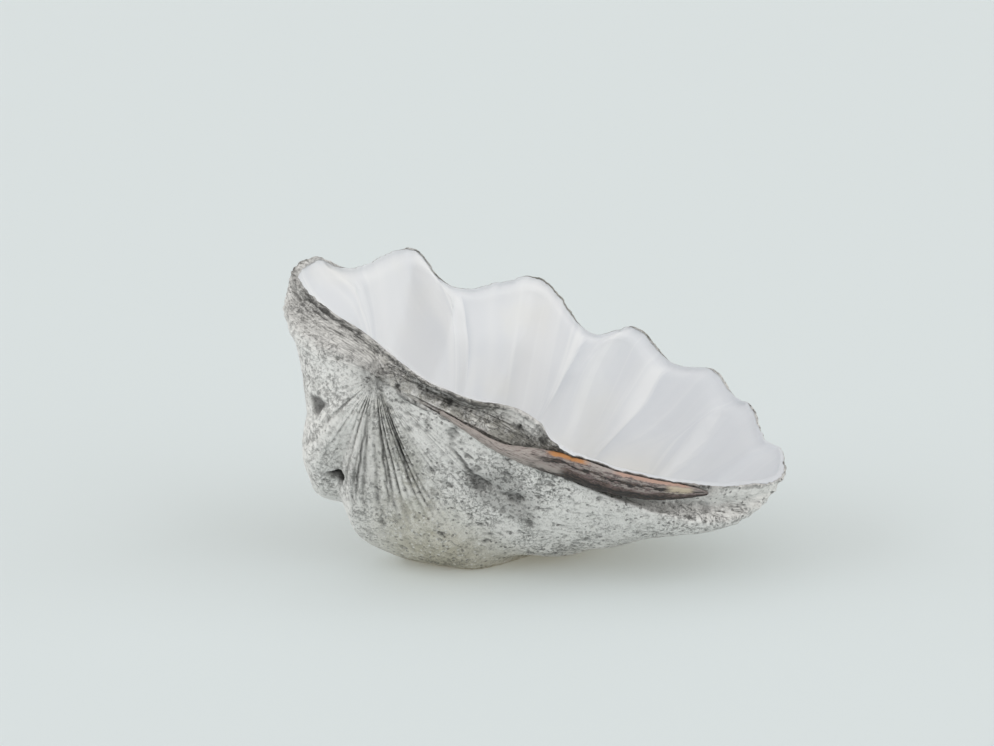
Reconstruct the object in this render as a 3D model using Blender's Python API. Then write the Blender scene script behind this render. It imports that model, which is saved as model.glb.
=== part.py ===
"""Giant clam shell: one valve of a giant clam, resting tilted on the worn underside of its ribs, with
the dark strip of its hinge ligament.

The valve is drawn in its own axes, in millimetres: a runs along the hinge, b runs from the hinge to the
scalloped margin, and c runs outward from the plane of the opening. The last step turns the valve to the
way it rests and changes to metres.
"""

import math

import bmesh
import bpy
import numpy as np
from mathutils import Vector
from mathutils.bvhtree import BVHTree

# The valve's axes as it rests, in world directions, and where its middle stands over the floor.
AXIS_A = np.array([0.9147, -0.1047, -0.3907])
AXIS_B = np.array([0.1760, 0.9720, 0.1520])
MIDDLE_MM = np.array([-3.6, -48.7, 184.0])
METRES_PER_MM = 0.001

# Outward from the opening's plane, in the valve's own axes.
DOWN = np.array([0.0, 0.0, 1.0])

# The beak, where every rib starts.
BEAK = np.array([-131.0, -104.0, 12.0])

# The edge of the opening, from the right-hand end round the scalloped side to the left-hand end and back
# along the hinge. Each row: a, b, c, the angle at which the surface leaves the beak, how far it holds
# that heading, the degrees it leans out where it meets the edge, how far it holds that, the edge's width,
# and how far the rib that ends there stands out, below zero for a groove.
EDGE = np.array([
    (247, 15, 0, 8, 394, 25, 35, 9, 0),
    (243, 70, -2, 18, 384, 30, 63, 4, 4),
    (226, 88, 2, 24, 388, 30, 85, 4, -3),
    (208, 139, -1, 30, 380, 30, 108, 4, 2),
    (188, 149, 1, 36, 369, 30, 130, 4, -2),
    (161, 167, -8, 42, 340, 30, 162, 4, 9),
    (121, 174, 6, 50, 336, 30, 197, 4, -10),
    (73, 185, -9, 57, 320, 30, 232, 4, 12),
    (32, 163, 7, 66, 322, 30, 270, 4, -13),
    (-35, 201, -9, 82, 278, 30, 284, 4, 15),
    (-105, 130, 7, 96, 282, 30, 218, 4, -15),
    (-161, 141, -8, 107, 236, 30, 162, 4, 11),
    (-202, 64, 3, 132, 163, 28, 114, 5, -11),
    (-236, 46, -2, 154, 120, 26, 34, 6, 6),
    (-246, -8, 0, 172, 116, 30, 19, 9, 0),
    (-210, -46, 0, 185, 77, 40, 13, 14, 0),
    (-161, -64, 0, 205, 20, 60, 14, 20, 0),
    (-127, -84, 0, 270, 6, 70, 8, 24, 0),
    (-94, -99, 1, 330, 16, 60, 14, 26, 0),
    (-56, -94, 4, 348, 34, 50, 20, 27, 0),
    (-20, -84, 5, 359, 58, 42, 19, 27, 0),
    (21, -92, 7, 362, 83, 40, 24, 27, 0),
    (57, -96, 10, 363, 102, 40, 28, 25, 0),
    (98, -90, 10, 365, 120, 28, 32, 22, 0),
    (153, -62, 9, 368, 141, 15, 38, 17, 0),
    (208, -26, 5, 373, 158, 0, 44, 13, 0),
], float)
ROWS = len(EDGE)
FIRST_LOBE_ROW, LAST_LOBE_ROW = 1, 13

# The ribs, by places along the ray from the beak: where they start, where they turn into the lobes of the
# edge, and by how much and where they swell in between.
RIB_START, RIB_END = 0.06, 0.65
RIB_SWELL, SWELL_RISE, SWELL_FALL = 0.9, (0.35, 0.6), (0.8, 1.0)

# The folds at the front, beside the beak: the row, the half breadth in rows, and how far each stands out,
# with the places along the ray over which all of them rise and fall.
FRONT_FOLDS = ((9.25, 0.3, 4.5), (9.85, 0.28, -6.0), (10.9, 0.5, 5.0), (11.75, 0.3, -2.5))
FOLD_RISE, FOLD_FALL = (0.05, 0.16), (0.32, 0.55)

# The tooth on the hinge edge: the rows over which it rises and falls, its height, and where along the ray
# it starts.
TOOTH_RISE, TOOTH_FALL = (19.5, 20.5), (20.85, 21.25)
TOOTH_HEIGHT, TOOTH_START = 9.0, 0.87

# The wide hinge edge: the rows over which it comes and goes, and its drop towards its inner line as a
# share of its width.
PLATE_RISE, PLATE_FALL = (13.4, 15.0), (24.6, 25.8)
EDGE_DROP = 0.4

# The bowl: the spot from which its wall is measured, the wall's thickness, the least share of it that is
# kept, and how much of the ribs the inside loses at the bottom. The wide edge thins to the wall, and the
# ribs fade, over these shares of the way down.
BOWL_MIDDLE = np.array([-10.0, 40.0, -4.0])
WALL, LEAST_SHARE = 13.0, 0.75
RIB_FADE_INSIDE = 0.5
THINNING, FADING = (0.0, 0.35), (0.1, 0.7)
CLOSER_BY_THE_EDGE = 1.3
LEAST_SLANT = 0.5

# The worn underside it rests on: world x and y of three swells of the ribs, and how far each swells down.
REST_SPOTS = ((-62.0, -66.0, 5.0), (10.0, 0.0, 10.0), (-110.0, -10.0, 10.0))
SWELL_RADIUS = 34.0
SWOLLEN_BELOW = (20.0, 60.0)

# The mesh: steps round the edge, from the beak to the edge, and down the bowl.
STEPS_ROUND, STEPS_OUT, STEPS_BOWL = 104, 24, 13

# The ligament's middle line: a, b, c, half its width and half its thickness.
LIGAMENT = np.array([
    (-66, -103, 18.5, 2, 1.5),
    (-34, -103, 24, 3.5, 2.5),
    (-4, -101, 28, 5, 4),
    (26, -97, 25, 9, 7),
    (57, -93, 22, 11, 8),
    (98, -87, 21, 11, 8),
    (130, -73, 20, 10, 7),
    (155, -59, 18, 8, 6),
    (172, -49, 16, 5, 4),
    (182, -43, 15, 2, 1.5),
], float)
LIGAMENT_STEPS, LIGAMENT_SIDES = 36, 12
LIGAMENT_GAP, LIGAMENT_TIP = 0.5, 2.0


def clear_scene():
    for obj in list(bpy.data.objects):
        bpy.data.objects.remove(obj, do_unlink=True)


def smooth_step(low, high, x):
    t = np.clip((x - low) / (high - low), 0.0, 1.0)
    return t * t * (3.0 - 2.0 * t)


def unit(v):
    return v / np.maximum(np.linalg.norm(v, axis=-1, keepdims=True), 1e-9)


def through_rows(rows, t, closed):
    """A smooth curve through the rows, read at each t, which counts rows."""
    n = len(rows)
    i = np.floor(t).astype(int)
    f = (t - i)[:, None]
    if closed:
        p = [rows[(i + k) % n] for k in (-1, 0, 1, 2)]
    else:
        p = [rows[np.clip(i + k, 0, n - 1)] for k in (-1, 0, 1, 2)]
    return 0.5 * (
        2 * p[1]
        + (p[2] - p[0]) * f
        + (2 * p[0] - 5 * p[1] + 4 * p[2] - p[3]) * f**2
        + (3 * p[1] - p[0] - 3 * p[2] + p[3]) * f**3
    )


def even_reading(rows, count, closed):
    """Row positions that space count points evenly along the curve through the rows."""
    fine = np.linspace(0.0, len(rows) if closed else len(rows) - 1.0, 4001)
    points = through_rows(rows[:, :3], fine, closed)
    run = np.concatenate([[0.0], np.cumsum(np.linalg.norm(np.diff(points, axis=0), axis=1))])
    wanted = np.linspace(0.0, run[-1], count, endpoint=not closed)
    return np.interp(wanted, run, fine)


def edge_rows():
    """The edge's rows, and the same rows with the lobes smoothed away."""
    plain = EDGE.copy()
    for k in range(FIRST_LOBE_ROW, LAST_LOBE_ROW + 1):
        plain[k, :3] = 0.25 * EDGE[k - 1, :3] + 0.5 * EDGE[k, :3] + 0.25 * EDGE[k + 1, :3]
    return EDGE, plain


def tooth_height(t):
    return TOOTH_HEIGHT * smooth_step(*TOOTH_RISE, t) * (1 - smooth_step(*TOOTH_FALL, t))


def plate_drop(t, width):
    """How far the inner line of the wide hinge edge lies below its outer line."""
    return EDGE_DROP * width * smooth_step(*PLATE_RISE, t) * (1 - smooth_step(*PLATE_FALL, t))


def rib_relief(t, v, rib):
    """How far the ribs and the front folds stand out, at rows t and places v along the rays."""
    grown = np.clip((v - RIB_START) / (1 - RIB_START), 0, 1)
    swell = 1 + RIB_SWELL * smooth_step(*SWELL_RISE, v) * (1 - smooth_step(*SWELL_FALL, v))
    relief = rib * grown * swell * (1 - smooth_step(RIB_END, 1.0, v))
    by_the_beak = smooth_step(*FOLD_RISE, v) * (1 - smooth_step(*FOLD_FALL, v))
    for row, breadth, fold in FRONT_FOLDS:
        off = ((t - row + ROWS / 2) % ROWS - ROWS / 2) / breadth
        relief = relief + fold * by_the_beak * np.exp(-(off[:, None] ** 2))
    return relief


def outer_surface(steps_round, steps_out, rib_height=1.0):
    """The outside, one row of points per step from the beak to the edge, and each edge point's width."""
    rows, plain = edge_rows()
    t = even_reading(rows, steps_round, True)
    edge = through_rows(rows[:, :3], t, True)
    calm = through_rows(plain[:, :3], t, True)
    heading = np.radians(rows[:, 3])
    heading = unit(through_rows(np.stack([np.cos(heading), np.sin(heading)], 1), t, True))
    hold, lean, settle, width, rib = through_rows(rows[:, 4:9], t, True).T[:, :, None]
    along = np.roll(calm, -1, 0) - np.roll(calm, 1, 0)
    outward = unit(np.stack([along[:, 1], -along[:, 0], np.zeros(len(along))], 1))
    leaning = np.radians(lean)
    second = BEAK + hold * np.stack([heading[:, 0], np.zeros(len(t)), heading[:, 1]], 1)
    third = calm + settle * (np.cos(leaning) * DOWN - np.sin(leaning) * outward)
    v = np.linspace(0.0, 1.0, steps_out + 1)[:, None, None]
    base = (
        (1 - v) ** 3 * BEAK
        + 3 * (1 - v) ** 2 * v * second
        + 3 * (1 - v) * v**2 * third
        + v**3 * calm
    )
    round_step = np.roll(base, -1, 1) - np.roll(base, 1, 1)
    normal = unit(np.cross(np.gradient(base, axis=0), round_step))
    relief = rib_height * rib_relief(t, v, rib)
    ribbed = base + normal * relief + (edge - calm) * smooth_step(RIB_END, 1.0, v)
    ribbed = ribbed - DOWN * tooth_height(t)[:, None] * smooth_step(TOOTH_START, 1.0, v)
    return ribbed, width


def in_world(points):
    turned = points @ np.stack([AXIS_A, AXIS_B, np.cross(AXIS_B, AXIS_A)])
    return turned + MIDDLE_MM


def rested(points):
    """The outside in world axes, swollen towards each spot it rests on and worn flat on the floor."""
    low = 1 - smooth_step(*SWOLLEN_BELOW, points[:, 2])
    for x, y, swell in REST_SPOTS:
        away = ((points[:, 0] - x) ** 2 + (points[:, 1] - y) ** 2) / SWELL_RADIUS**2
        points[:, 2] -= swell * low * np.exp(-away)
    points[:, 2] = np.maximum(points[:, 2], 0.0)
    return points


def grid_faces(grid, close_with=None):
    """Quads between the rows of a grid that closes on itself, with a fan to one last point if given."""
    here, beside = grid[:-1], np.roll(grid, -1, 1)[:-1]
    above, beyond = grid[1:], np.roll(grid, -1, 1)[1:]
    faces = np.stack([here, beside, beyond, above], -1).reshape(-1, 4).tolist()
    if close_with is not None:
        last = grid[-1]
        faces += np.stack([last, np.roll(last, -1), np.full(len(last), close_with)], -1).tolist()
    return faces


def tree_of(points, rows, columns):
    """A search tree over an outer surface given as a grid whose first row is one point."""
    grid = np.arange(rows * columns).reshape(rows, columns)
    return BVHTree.FromPolygons([Vector(p) for p in points.reshape(-1, 3)], grid_faces(grid))


def ribbed_gap(tree, point):
    return tree.find_nearest(Vector(point))[3]


def bowl_surface(edge, width):
    """The inside, from the edge's inner line down to the bottom of the bowl, and the bottom point."""
    ribbed, _ = outer_surface(STEPS_ROUND, 2 * STEPS_OUT)
    smooth, _ = outer_surface(STEPS_ROUND, 2 * STEPS_OUT, 0.0)
    trees = [tree_of(s, 2 * STEPS_OUT + 1, STEPS_ROUND) for s in (ribbed, smooth)]
    along = np.roll(edge, -1, 0) - np.roll(edge, 1, 0)
    inward = unit(np.stack([-along[:, 1], along[:, 0], np.zeros(len(along))], 1))
    t = even_reading(EDGE, STEPS_ROUND, True)
    below = tooth_height(t) + plate_drop(t, width[:, 0])
    rim = edge + inward * width + DOWN * below[:, None]
    level = unit(rim - BOWL_MIDDLE)
    rows = [rim]
    for step in range(1, STEPS_BOWL + 1):
        w = (step / STEPS_BOWL) ** CLOSER_BY_THE_EDGE
        turn = math.radians(90.0 * w)
        aim = unit(math.cos(turn) * level + math.sin(turn) * DOWN)
        fade = RIB_FADE_INSIDE * smooth_step(*FADING, w)
        wall = WALL + (width[:, 0] - WALL) * (1 - smooth_step(*THINNING, w))
        row = []
        for direction, thick in zip(aim, wall):
            hits = [tree.ray_cast(Vector(BOWL_MIDDLE), Vector(direction)) for tree in trees]
            reaches = [far - thick / max(abs(normal.dot(direction)), LEAST_SLANT) for _, normal, _, far in hits]
            reach = min(reaches[0] * (1 - fade) + reaches[1] * fade, hits[0][3] - LEAST_SHARE * thick)
            while ribbed_gap(trees[0], BOWL_MIDDLE + reach * direction) < LEAST_SHARE * thick:
                reach -= 1.0
            row.append(BOWL_MIDDLE + reach * direction)
        rows.append(np.array(row))
    return np.array(rows[:-1]), rows[-1].mean(0)


def mesh_object(name, points, faces):
    mesh = bpy.data.meshes.new(name)
    mesh.from_pydata((points * METRES_PER_MM).tolist(), [], faces)
    mesh.update()
    built = bmesh.new()
    built.from_mesh(mesh)
    bmesh.ops.triangulate(built, faces=built.faces[:])
    bmesh.ops.recalc_face_normals(built, faces=built.faces[:])
    built.to_mesh(mesh)
    built.free()
    for polygon in mesh.polygons:
        polygon.use_smooth = True
    obj = bpy.data.objects.new(name, mesh)
    bpy.context.collection.objects.link(obj)
    return obj


def valve():
    outside, width = outer_surface(STEPS_ROUND, STEPS_OUT)
    inside, bottom = bowl_surface(outside[-1], width)
    beak = len(outside[1:].reshape(-1, 3)) + len(inside.reshape(-1, 3))
    outer = np.arange(STEPS_OUT * STEPS_ROUND).reshape(STEPS_OUT, STEPS_ROUND)
    inner = outer.size + np.arange(inside.shape[0] * STEPS_ROUND).reshape(-1, STEPS_ROUND)
    faces = grid_faces(outer[::-1], beak) + grid_faces(np.stack([outer[-1], inner[0]]))
    faces += grid_faces(inner, beak + 1)
    shell = rested(in_world(outside[1:].reshape(-1, 3)))
    hollow = in_world(np.concatenate([inside.reshape(-1, 3), [BEAK], [bottom]]))
    return mesh_object("valve", np.concatenate([shell, hollow]), faces)


def ligament(grow):
    """The ligament as a strip of oval sections, made larger all round by grow."""
    t = even_reading(LIGAMENT, LIGAMENT_STEPS, False)
    line = through_rows(LIGAMENT, t, False)
    along = unit(np.gradient(line[:, :3], axis=0))
    away = unit(np.cross(along, DOWN))
    face = unit(np.cross(away, along))
    turn = np.linspace(0.0, 2 * math.pi, LIGAMENT_SIDES, endpoint=False)[None, :, None]
    half_width = line[:, None, 3:4] + grow
    half_thick = line[:, None, 4:5] + grow
    ring = (
        line[:, None, :3]
        + np.cos(turn) * half_width * face[:, None]
        + np.sin(turn) * half_thick * away[:, None]
    )
    grid = np.arange(LIGAMENT_STEPS * LIGAMENT_SIDES).reshape(LIGAMENT_STEPS, LIGAMENT_SIDES)
    first = line[0, :3] - along[0] * (LIGAMENT_TIP + grow)
    last = line[-1, :3] + along[-1] * (LIGAMENT_TIP + grow)
    faces = grid_faces(grid, grid.size)
    faces += np.stack([grid[0], np.roll(grid[0], -1), np.full(LIGAMENT_SIDES, grid.size + 1)], -1).tolist()
    points = in_world(np.concatenate([ring.reshape(-1, 3), [last], [first]]))
    return mesh_object("ligament", points, faces)


def cut(obj, cutter):
    cutter.name = "ligament_bed"
    cutter.hide_render = True
    cutter.display_type = "WIRE"
    modifier = obj.modifiers.new("ligament_bed", "BOOLEAN")
    modifier.operation = "DIFFERENCE"
    modifier.solver = "EXACT"
    modifier.object = cutter


def material(name, colour, roughness):
    made = bpy.data.materials.new(name)
    made.use_nodes = True
    shader = made.node_tree.nodes["Principled BSDF"]
    shader.inputs["Base Color"].default_value = (*colour, 1.0)
    shader.inputs["Roughness"].default_value = roughness
    return made


def main():
    clear_scene()
    shell = valve()
    shell.data.materials.append(material("shell", (0.62, 0.62, 0.59), 0.7))
    cut(shell, ligament(LIGAMENT_GAP))
    strip = ligament(0.0)
    strip.data.materials.append(material("ligament", (0.10, 0.07, 0.055), 0.6))


if __name__ == "__main__":
    main()
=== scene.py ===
"""Giant clam shell: the chalky, ribbed outside and white porcelain inside of one valve, with the dark
strip of its hinge ligament, on a plain stage.

The valve is drawn in its own axes, in millimetres: a runs along the hinge, b runs from the hinge to the
scalloped margin, and c runs outward from the plane of the opening. Every point is turned to the way the
valve rests, in metres, before it goes into a mesh.
"""

import math

import bmesh
import bpy
import numpy as np
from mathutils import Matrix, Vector
from mathutils.bvhtree import BVHTree


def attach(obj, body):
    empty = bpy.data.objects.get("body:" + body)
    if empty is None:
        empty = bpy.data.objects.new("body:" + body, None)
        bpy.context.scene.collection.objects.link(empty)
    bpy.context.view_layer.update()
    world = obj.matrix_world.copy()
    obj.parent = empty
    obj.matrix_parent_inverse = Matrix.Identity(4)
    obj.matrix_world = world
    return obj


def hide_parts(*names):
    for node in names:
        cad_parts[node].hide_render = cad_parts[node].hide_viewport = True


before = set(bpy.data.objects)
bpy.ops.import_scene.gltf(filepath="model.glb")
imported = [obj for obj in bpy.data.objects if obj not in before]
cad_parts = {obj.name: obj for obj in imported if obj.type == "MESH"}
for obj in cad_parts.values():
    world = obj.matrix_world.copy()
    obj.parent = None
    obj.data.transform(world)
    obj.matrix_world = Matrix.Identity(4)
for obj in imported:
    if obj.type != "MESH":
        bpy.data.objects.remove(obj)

bl_info = {
    "name": "Giant clam shell",
    "version": (1, 0, 0),
    "blender": (4, 5, 0),
    "location": "3D Viewport > Sidebar > Clam Shell",
    "description": "One valve of a giant clam with its hinge ligament, on a plain stage",
    "category": "Add Mesh",
}

# The valve's axes as it rests, in world directions, and where its middle stands over the floor.
AXIS_A = np.array([0.9147, -0.1047, -0.3907])
AXIS_B = np.array([0.1760, 0.9720, 0.1520])
MIDDLE_MM = np.array([-3.6, -48.7, 184.0])
METRES_PER_MM = 0.001

# Outward from the opening's plane, in the valve's own axes.
DOWN = np.array([0.0, 0.0, 1.0])

# The beak, where every rib starts.
BEAK = np.array([-131.0, -104.0, 12.0])

# The edge of the opening, from the right-hand end round the scalloped side to the left-hand end and back
# along the hinge. Each row: a, b, c, the angle at which the surface leaves the beak, how far it holds
# that heading, the degrees it leans out where it meets the edge, how far it holds that, the edge's width,
# and how far the rib that ends there stands out, below zero for a groove.
EDGE = np.array([
    (247, 15, 0, 8, 394, 25, 35, 9, 0),
    (243, 70, -2, 18, 384, 30, 63, 4, 4),
    (226, 88, 2, 24, 388, 30, 85, 4, -3),
    (208, 139, -1, 30, 380, 30, 108, 4, 2),
    (188, 149, 1, 36, 369, 30, 130, 4, -2),
    (161, 167, -8, 42, 340, 30, 162, 4, 9),
    (121, 174, 6, 50, 336, 30, 197, 4, -10),
    (73, 185, -9, 57, 320, 30, 232, 4, 12),
    (32, 163, 7, 66, 322, 30, 270, 4, -13),
    (-35, 201, -9, 82, 278, 30, 284, 4, 15),
    (-105, 130, 7, 96, 282, 30, 218, 4, -15),
    (-161, 141, -8, 107, 236, 30, 162, 4, 11),
    (-202, 64, 3, 132, 163, 28, 114, 5, -11),
    (-236, 46, -2, 154, 120, 26, 34, 6, 6),
    (-246, -8, 0, 172, 116, 30, 19, 9, 0),
    (-210, -46, 0, 185, 77, 40, 13, 14, 0),
    (-161, -64, 0, 205, 20, 60, 14, 20, 0),
    (-127, -84, 0, 270, 6, 70, 8, 24, 0),
    (-94, -99, 1, 330, 16, 60, 14, 26, 0),
    (-56, -94, 4, 348, 34, 50, 20, 27, 0),
    (-20, -84, 5, 359, 58, 42, 19, 27, 0),
    (21, -92, 7, 362, 83, 40, 24, 27, 0),
    (57, -96, 10, 363, 102, 40, 28, 25, 0),
    (98, -90, 10, 365, 120, 28, 32, 22, 0),
    (153, -62, 9, 368, 141, 15, 38, 17, 0),
    (208, -26, 5, 373, 158, 0, 44, 13, 0),
], float)
ROWS = len(EDGE)
FIRST_LOBE_ROW, LAST_LOBE_ROW = 1, 13
RIB_START, RIB_SWELL = 0.06, 0.9
SWELL_PLACES = (0.35, 0.6, 0.8, 1.0)
EDGE_LOBES_START = 0.65

# The folds at the front, beside the beak: the row, the half breadth in rows, how far each stands out, and
# the places along the ray where it starts, is full, starts to fall and ends.
FRONT_FOLDS = (
    (9.25, 0.3, 4.5, 0.05, 0.16, 0.32, 0.55),
    (9.85, 0.28, -6.0, 0.05, 0.16, 0.32, 0.55),
    (10.9, 0.5, 5.0, 0.05, 0.16, 0.32, 0.55),
    (11.75, 0.3, -2.5, 0.05, 0.16, 0.32, 0.55),
    (10.35, 0.32, 9.0, 0.22, 0.36, 0.44, 0.64),
)

# The rows over which the wide hinge edge and the thin scalloped lip begin and end.
PLATE_ROWS = (13.4, 15.0, 24.6, 25.8)
THIN_ROWS = (1.4, 2.8, 12.6, 13.8)

# The tooth on the hinge edge: the rows over which it rises and falls, its height, and where along the ray
# it starts.
TOOTH_ROWS = (19.5, 20.5, 20.85, 21.25)
TOOTH_HEIGHT, TOOTH_START = 9.0, 0.87

# The share of the edge's width that the thin scalloped lip keeps, and how far the wide hinge edge drops
# towards its inner line and bulges, as shares of its width.
LIP_SHARE = 0.45
EDGE_DROP, EDGE_BULGE = 0.4, 0.1

# The row where the sheet of the surface is joined, on the short rays beside the beak.
SEAM_ROW = 17.0

# How closely the columns stand between each row and the next, beside an even spacing.
COLUMN_SHARE = np.array([
    1.0, 1.0, 1.0, 1.0, 1.05, 1.1, 1.2, 1.3, 1.35, 1.35, 1.3, 1.25, 1.2, 1.1, 1.0, 0.9, 0.8, 0.7, 0.8, 0.9,
    1.0, 1.0, 1.0, 1.0, 1.0, 1.0,
])

# How much closer the rows of faces stand by the edge, as a share of their number.
CLOSER_BY_THE_EDGE = 0.05

# The bowl: the spot from which its wall is measured, the wall's thickness and the share of it that is kept
# everywhere, and how much of the ribs it loses at the bottom.
BOWL_MIDDLE = np.array([-10.0, 40.0, -4.0])
WALL, LEAST_SHARE = 13.0, 0.75
RIB_FADE_INSIDE = 0.5
LEAST_SLANT = 0.5

# The table of the wall's reach: the step in degrees round the bowl, the first and the last angle below
# level, and how many of them; and how the rows inside crowd towards the edge.
ANGLE_STEP = 1.25
FIRST_DOWN, LAST_DOWN, DOWN_COUNT = 3.0, 90.0, 48
CROWDING = 1.25

# The ridges inside, below the notches of the edge: each one's row and its share of the full height, and
# the height in millimetres and half breadth in degrees.
RIDGES = ((4, 0.6), (6, 1.0), (8, 1.0), (10, 1.0), (12, 0.6))
RIDGE_HEIGHT, RIDGE_BREADTH = 6.0, 5.0
RIDGE_CREST = 0.8
RIDGE_DEPTHS = (0.0, 0.1, 0.4, 0.85)

# The painted highlight and painted shade on the sides of each ridge: their breadths in degrees, how far
# the one blends into the other, and the depths where they start, are full, start to fade and end.
PAINTED_LIGHT_BREADTH, PAINTED_SHADE_BREADTH, PAINTED_SIDE_BLEND = 6.0, 7.0, 0.7
PAINTED_SIDE_DEPTHS = (0.0, 0.05, 0.3, 0.7)

# How far the ridges and the streaks turn towards the front on the way down: rows, and degrees in all.
BEND_ROWS = (0.0, 2.0, 4.0, 6.0, 8.0, 10.0, 12.0, 14.0, 24.0, 26.0)
BENDS = (75.0, 85.0, 70.0, 42.0, 18.0, 3.0, -8.0, 0.0, 0.0, 75.0)
DEGREES_PER_ROW = 16.0

# The share of the way down over which the wall inside grows from the thin edge, and its least thickness.
THIN_DEPTH, LEAST_WALL = 0.3, 4.0

# The worn underside: the heights between which the swelling fades, world x and y of three swells of the
# ribs and how far each swells down, and their radius.
SWOLLEN_BELOW = (20.0, 60.0)
REST_SPOTS = ((-62.0, -66.0, 5.0), (10.0, 0.0, 10.0), (-110.0, -10.0, 10.0))
SWELL_RADIUS = 34.0

# Holes, pits and rubbed places: row, place along the ray, half length along it and half width across it
# in millimetres, depth, and how dark it is.
SCARS = (
    (9.77, 0.187, 9.0, 6.5, 6.0, 1.0),
    (11.87, 0.193, 11.0, 9.5, 2.6, 0.8),
    (5.40, 0.273, 3.0, 4.8, 2.2, 0.75),
    (2.30, 0.165, 42.0, 26.0, 0.8, 0.38),
    (2.85, 0.143, 13.0, 9.0, 4.2, 0.75),
    (2.16, 0.183, 10.0, 8.0, 3.2, 0.65),
    (20.59, 0.90, 3.0, 3.2, 3.5, 1.0),
    (25.64, 0.713, 1.5, 1.3, 1.6, 1.0),
    (25.66, 0.740, 1.5, 1.3, 1.6, 1.0),
    (25.68, 0.623, 2.2, 1.4, 1.6, 0.9),
    (0.02, 0.477, 2.2, 1.6, 1.8, 1.0),
    (5.57, 0.197, 2.5, 2.5, 1.2, 0.5),
    (5.37, 0.223, 2.2, 2.2, 1.2, 0.5),
)

# Crevices that run out from the beak: the row where each starts and ends, the places along the ray where
# it starts and ends, its half breadth in millimetres and its depth.
CREVICES = (
    (-2.2, 1.94, 0.05, 0.09, 1.5, 2.4),
    (1.94, 2.9, 0.087, 0.14, 1.8, 1.6),
    (-1.7, -0.6, 0.12, 0.36, 1.8, 2.2),
    (-3.6, -2.6, 0.10, 0.40, 1.3, 1.4),
    (6.1, 6.9, 0.03, 0.13, 1.4, 1.6),
    (8.0, 8.15, 0.04, 0.18, 1.3, 1.5),
    (9.0, 9.05, 0.04, 0.2, 1.4, 1.6),
    (-8.2, -6.2, 0.55, 0.9, 1.2, 1.6),
    (-7.4, -5.4, 0.5, 0.86, 1.2, 1.4),
    (-6.6, -4.9, 0.35, 0.8, 1.2, 1.4),
)

# The ligament's middle line: a, b, c, half its width and half its thickness.
LIGAMENT = np.array([
    (-66, -103, 18.5, 2, 1.5),
    (-34, -103, 24, 3.5, 2.5),
    (-4, -101, 28, 5, 4),
    (26, -97, 25, 9, 7),
    (57, -93, 22, 11, 8),
    (98, -87, 21, 11, 8),
    (130, -73, 20, 10, 7),
    (155, -59, 18, 8, 6),
    (172, -49, 16, 5, 4),
    (182, -43, 15, 2, 1.5),
], float)


# The rows over which each kind of surface begins and ends: the crusted left-hand end, the rows that the
# ligament covers, the lobes, the hinge side, the pink stain and the knobs; and the side of each lobe that
# falls to the right, in rows past its notch.
LEFT_END_ROWS = (12.5, 13.4, 15.0, 16.4)
LIGAMENT_ROWS = (21.2, 21.8, 24.8, 25.4)
LOBE_ROWS = (2.0, 2.6, 12.4, 13.0)
HINGE_ROWS = (13.2, 15.0, 21.6, 23.0)
BLUSH_ROWS = (21.6, 22.6, 24.2, 25.0)
KNOB_ROWS = (11.2, 12.6, 14.8, 15.6)
RIGHT_OF_LOBE = (0.1, 0.4, 1.0, 1.3)

# The marks on the shell's points that are vectors, and those that its colours read.
VECTOR_MARKS = ("flow", "inward", "edge_place")
SHADED_MARKS = (
    "outside", "groove", "ledge", "pit", "scar_dark", "hinge", "slope", "blush", "tooth", "reach", "lip",
    # fold: the painted highlight and painted shade on the sides of the ridges inside.
    "fold",
)

# How far noise is shifted where it has to differ from the same noise elsewhere.
ASIDE = (3.1, 1.7, 0.4)

# The soft suns: the setting with the strength of each, the degrees over which it spreads, and the degrees
# it stands to the right of the camera and above the floor.
LIGHTS = (
    ("above", 85.0, 0.0, 84.0),
    ("left", 60.0, -80.0, 17.0),
    ("right", 70.0, 70.0, 28.0),
    ("front", 60.0, -10.0, 14.0),
)

# Where the camera stands, in metres, and its angle from straight down.
CAMERA_PLACE = (-0.03994, -1.88752, 0.68243)
CAMERA_TILT = 75.0


# Curves and surfaces


def smooth_step(low, high, x):
    t = np.clip((x - low) / (high - low), 0.0, 1.0)
    return t * t * (3.0 - 2.0 * t)


def band(x, start, full, fade, end):
    """One where x lies between full and fade, falling smoothly to nothing at start and at end."""
    return smooth_step(start, full, x) * (1 - smooth_step(fade, end, x))


def unit(v):
    return v / np.maximum(np.linalg.norm(v, axis=-1, keepdims=True), 1e-9)


def through_rows(rows, t, closed=True):
    """A smooth curve through the rows, read at each t, which counts rows."""
    n = len(rows)
    i = np.floor(t).astype(int)
    f = (t - i)[:, None]
    if closed:
        p = [rows[(i + k) % n] for k in (-1, 0, 1, 2)]
    else:
        p = [rows[np.clip(i + k, 0, n - 1)] for k in (-1, 0, 1, 2)]
    return 0.5 * (
        2 * p[1]
        + (p[2] - p[0]) * f
        + (2 * p[0] - 5 * p[1] + 4 * p[2] - p[3]) * f**2
        + (3 * p[1] - p[0] - 3 * p[2] + p[3]) * f**3
    )


def run_of(points, axis=0):
    """The length run along a line of points."""
    steps = np.linalg.norm(np.diff(points, axis=axis), axis=-1)
    start = np.zeros_like(np.take(steps, [0], axis=axis))
    return np.cumsum(np.concatenate([start, steps], axis=axis), axis=axis)


def column_rows(count):
    """Where each column of the surface is read, in rows, from the seam once round the edge."""
    fine = np.linspace(SEAM_ROW, SEAM_ROW + ROWS, 6001)
    line = through_rows(EDGE[:, :3], fine)
    share = np.interp(fine % ROWS, np.arange(ROWS + 1), np.append(COLUMN_SHARE, COLUMN_SHARE[0]))
    steps = np.linalg.norm(np.diff(line, axis=0), axis=1) * 0.5 * (share[1:] + share[:-1])
    run = np.concatenate([[0.0], np.cumsum(steps)])
    return np.interp(np.linspace(0.0, run[-1], count, endpoint=False), run, fine)


def rows_apart(t, row):
    """How many rows t lies past the row, the short way round."""
    return (t - row + ROWS / 2) % ROWS - ROWS / 2


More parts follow.
